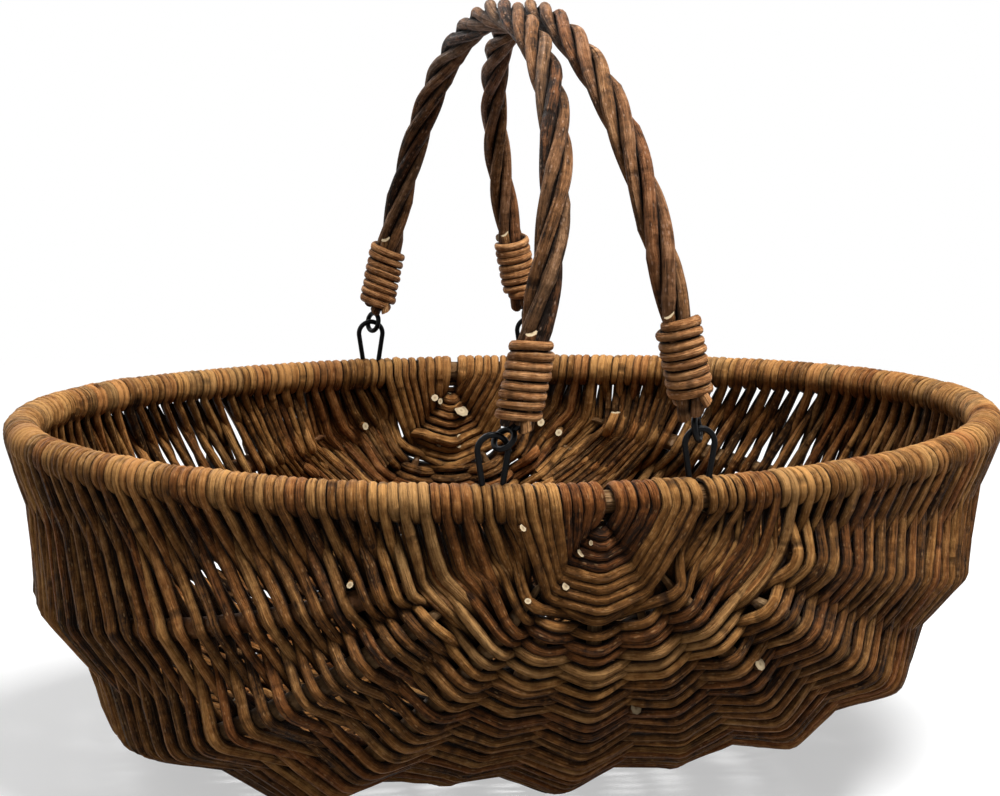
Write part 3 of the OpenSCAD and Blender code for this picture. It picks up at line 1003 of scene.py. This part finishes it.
class Arch(Course):
    """The middle line of a handle, from its front foot."""

    steps = 400

    def __init__(self, side):
        self.side = side
        self.slid = side < 0
        turns = [math.asin((k / self.steps) ** (handle_square / 2))
                 for k in range(self.steps + 1)]
        self.measure(turns[:-1] + [math.pi - t for t in reversed(turns)])

    def at_turn(self, turn):
        c, s = math.cos(turn), max(math.sin(turn), 0.0)
        slide = max(0.0, c) ** 1.5 if self.slid else 0.0
        return Vector((foot * math.sin(slid_foot) * slide, -loop_y * c,
                       foot * math.cos(slid_foot * slide)
                       + (handle_height - foot) * s ** (2 / handle_square)))

    def at(self, distance):
        k, share = self.found(distance)
        return self.points[k - 1].lerp(self.points[k], share)

    def wound(self, distance, radius, turn):
        near = 2 * mm
        way = (self.at(distance + near) - self.at(distance - near)).normalized()
        wide = way.cross(Vector((1, 0, 0))).normalized()
        across = wide.cross(way)
        return self.at(distance) + radius * (math.cos(turn) * across + math.sin(turn) * wide)

    def stand(self, points):
        """From the handle's own plane to its place in the frame."""
        lean_in = Matrix.Rotation(-self.side * lean, 4, "Y")
        move = Matrix.Translation((self.side * loop_x, 0, hinge_z))
        flip = Matrix.Scale(-1, 4, (1, 0, 0)) if self.side > 0 else Matrix.Identity(4)
        return [move @ lean_in @ flip @ p for p in points]


def foot_distance(arch, front, h):
    return h if front else arch.length - h

# %% [markdown]
# ## The rods of a handle
# The four rods wind round the arch's middle line, one turn in about fifteen centimetres, the
# left handle's one way and the right handle's the other. Four rods in a ring leave an empty
# middle, so a straighter core rod fills it, clear of the iron at both feet.

# %% Handle rods
handle_steps, handle_sides = 150, 12
core_clear, core_steps, core_share = 45 * mm, 60, 0.9
handle_butt, handle_tip = (0.99, 1.05), (0.93, 1.0)


def handle_rod_path(arch, j):
    hand = 1 if arch.slid else -1
    start = rod_step * j
    finish = arch.length - rod_step * (handle_rods - 1 - j)
    path = []
    for k in range(handle_steps + 1):
        distance = start + (finish - start) * k / handle_steps
        turn = hand * (math.tau * distance / handle_lay + math.tau * j / handle_rods)
        path.append(arch.wound(distance, void_r, turn))
    return arch.stand(path)


def core_path(arch):
    return arch.stand([arch.wound(
        core_clear + (arch.length - 2 * core_clear) * k / core_steps, 0, 0)
        for k in range(core_steps + 1)])


def handle_rod(arch, j):
    path = handle_rod_path(arch, j)
    butt, tip = chance.uniform(*handle_butt), chance.uniform(*handle_tip)
    return lay_rod("rod", path, lambda s: handle_rod_r * (butt + (tip - butt) * s),
                   character(), sides=handle_sides)

# %% [markdown]
# ## The bindings
# Eight turns of a thinner rod hold each foot together. Nobody winds quite evenly, so the turns
# wander and slant a little, and both ends are tucked under. Above and below each binding the
# cut end of a short rod stands out: those were pushed in to tighten it.

# %% Bindings and cut ends
binding_r, binding_turns, binding_gap = 2.1 * mm, 8, 0.8 * mm
binding_pitch = 2 * binding_r + binding_gap
binding_steps, binding_sides, bound_share = 20, 10, 1.22
binding_slant, binding_wander, binding_swell = 0.9 * mm, 0.35 * mm, 0.2 * mm
binding_tuck, tuck_steep = 3.2 * mm, 5
binding_character = (0.62, 0.3, 0.15)
left_bare_end, right_bare_end = 4 * mm, 9 * mm
stub_r = 2.9 * mm
# The stubs' heights and their places off the bundle, in mm, and their turns above and below
leaning = ((-12, -1.5), (-7, -1.2), (-1, 0.2), (3, 2.6))
upright = ((-14, -1.5), (-8, -1.5), (-2, -1.5), (5.5, -1.5))
stub_turns = {("left", "front"): (-2.1, -1.3), ("left", "back"): (2.2, 1.1),
              ("right", "front"): (-0.9, -2.1), ("right", "back"): (0.9, 2.0)}


def bare_end(arch):
    return left_bare_end if arch.slid else right_bare_end


def binding_paths(arch, front):
    """The winding's middle line, and the way off the handle at each of its points."""
    radius = bundle_r + pressed_to * binding_r
    phase = chance.uniform(0, math.tau)
    path, middle = [], []
    for k in range(binding_turns * binding_steps + 1):
        turns = k / binding_steps
        uneven = math.sin(2.3 * turns + phase) + 0.7 * math.sin(5.9 * turns)
        h = bare_end(arch) + binding_pitch * turns
        h += binding_wander * uneven + binding_slant * math.sin(math.tau * turns + phase)
        distance = foot_distance(arch, front, h)
        tucked = max(0.0, 1 - tuck_steep * min(turns, binding_turns - turns))
        path.append(arch.wound(
            distance, radius + binding_swell * uneven - binding_tuck * tucked, math.tau * turns))
        middle.append(arch.wound(distance, 0, 0))
    path, middle = arch.stand(path), arch.stand(middle)
    return path, [(a - b).normalized() for a, b in zip(path, middle)]


def stub_path(arch, front, turn, low):
    """The cut end of a short rod that stands out of the binding, above it or below it."""
    bare = bare_end(arch)
    start, way = (bare, -1) if low else (bare + binding_turns * binding_pitch, 1)
    return arch.stand([arch.wound(foot_distance(arch, front, start + way * h * mm),
                                  bundle_r + out * mm, turn)
                       for h, out in (leaning if low else upright)])


def binding(arch, word, end):
    """The winding of one foot and its two stubs."""
    front = end == "front"
    path, off = binding_paths(arch, front)
    tie = lay_rod("tie", path, lambda s: bound_share * binding_r, binding_character,
                  sides=binding_sides, pressed=lambda k, point: off[k])
    return [tie] + [lay_rod("stub", stub_path(arch, front, turn, low),
                            lambda s: stub_r, character())
                    for low, turn in enumerate(stub_turns[word, end])]

# %% [markdown]
# ## Both handles
# Each rod and each binding replaces its own solid and rides on its handle's body, so it swings
# with it. The core has no solid of its own and is joined to the first rod.

# %% Making the handles
for side, word in ((-1, "left"), (1, "right")):
    arch = Arch(side)
    for j in range(handle_rods):
        rods = [handle_rod(arch, j)]
        if not j:
            rods.append(lay_rod("core", core_path(arch), lambda s: core_share * handle_rod_r,
                                character()))
        bundle(f"{word}_handle_twist_{j + 1}", rods, handle_bark, f"{word}_handle",
               [f"{word}_handle_rod_{j + 1}"])
    for end in ("front", "back"):
        bundle(f"{word}_{end}_tie", binding(arch, word, end), binding_bark, f"{word}_handle",
               [f"{word}_{end}_binding"])
    print(word, "handle is", round(arch.length / mm), "mm long")

# %% [markdown]
# ## Black iron
# The loops and rings are bent from black annealed wire. It is dark, slightly shiny where it
# rubs, and a little rough where scale is left.

# %% The iron finish
def black_iron(name):
    material = new_material(name)
    place_on = Wire.node("ShaderNodeTexCoord", {}, {}, out=3)
    scale_marks = noise(place_on, 900, 3.0)
    worn = noise(place_on, 160, 2.0).clamped(0.56, 0.72)
    colour = mixed(worn * 0.5, (0.0015, 0.0015, 0.002, 1), (0.010, 0.009, 0.009, 1))
    surface({"Base Color": colour, "Roughness": 0.36 - worn * 0.12,
             "Specular IOR Level": 0.09, "Normal": bumped(scale_marks, 0.35, 0.3 * mm)})
    return material


iron = black_iron("black_iron")
for node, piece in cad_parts.items():
    if node.endswith("_loop") or node.endswith("_eye"):
        piece.data.materials.clear()
        piece.data.materials.append(iron)

# %% [markdown]
# ## The floor
# A wide pale floor takes the basket's shadow. Far from the basket it fades into the white of
# the world, for what the camera sees only, so no edge shows. For the light that bounces, it is
# much darker, so the basket's underside stays as dark as in the photograph.

# %% The floor
floor_radius = 14.0
fade_from, fade_to = 0.45, 1.6
bounced, looked_at = (0.22, 0.21, 0.20, 1), (0.86, 0.86, 0.86, 1)
white = (1, 1, 1, 1)

floor_bm = bmesh.new()
bmesh.ops.create_circle(floor_bm, cap_ends=True, segments=64, radius=floor_radius)
floor_mesh = bpy.data.meshes.new("floor")
floor_bm.to_mesh(floor_mesh)
floor_bm.free()
floor = bpy.data.objects.new("floor", floor_mesh)
bpy.context.scene.collection.objects.link(floor)


def seen_rays():
    """One for what the camera sees, straight, in a reflection or through glass."""
    rays = Wire.node("ShaderNodeLightPath", {}, {})
    return rays + rays.other("Is Glossy Ray") + rays.other("Is Transmission Ray")


floor_paint = new_material("floor_paint")
seen = seen_rays()
spot = Wire.node("ShaderNodeTexCoord", {}, {}, out=3)
fade = Wire.node("ShaderNodeVectorMath", {"operation": "LENGTH"}, {0: spot}, out=1).clamped(
    fade_from, fade_to)
matt = Wire.node("ShaderNodeBsdfDiffuse", {}, {"Color": mixed(seen, bounced, looked_at)})
glow = Wire.node("ShaderNodeEmission", {}, {"Color": white, "Strength": 1.0})
Wire.node("ShaderNodeOutputMaterial", {}, {"Surface": Wire.node(
    "ShaderNodeMixShader", {}, {0: (0.5 + 0.5 * fade) * seen, 1: matt, 2: glow})})
floor.data.materials.append(floor_paint)

# %% [markdown]
# ## World and lamps
# The world is white paper where it is seen and a faint soft sky where it gives light. One
# lamp above and in front gives the photograph's shine on the rim, a weak one fills the left
# front, and one behind keeps the far side from going black.

# %% World and lamps
sky_strength, paper_strength = 0.09, 1.0

world = bpy.data.worlds.new("studio")
bpy.context.scene.world = world
world.use_nodes = True
Wire.tree = world.node_tree
Wire.tree.nodes.clear()
sky = Wire.node("ShaderNodeBackground", {}, {"Color": white, "Strength": sky_strength})
paper = Wire.node("ShaderNodeBackground", {}, {"Color": white, "Strength": paper_strength})
Wire.node("ShaderNodeOutputWorld", {}, {"Surface": Wire.node(
    "ShaderNodeMixShader", {}, {0: seen_rays(), 1: sky, 2: paper})})


def lamp(name, stand_at, size, power):
    """A square lamp of this size in metres and power in watts, turned to the basket."""
    data = bpy.data.lights.new(name, "AREA")
    data.energy, data.size = power, size
    lamp_object = bpy.data.objects.new(name, data)
    lamp_object.location = stand_at
    lamp_object.rotation_euler = (look_at - Vector(stand_at)).to_track_quat(
        "-Z", "Y").to_euler()
    bpy.context.scene.collection.objects.link(lamp_object)


lamp("key_lamp", (0.5, -0.66, 2.25), 1.0, 108)
lamp("fill_lamp", (-1.6, -2.0, 1.2), 1.4, 9)
lamp("back_lamp", (-0.9, 1.9, 1.7), 1.5, 30)
print("lamps:", [light.name for light in bpy.data.lights])
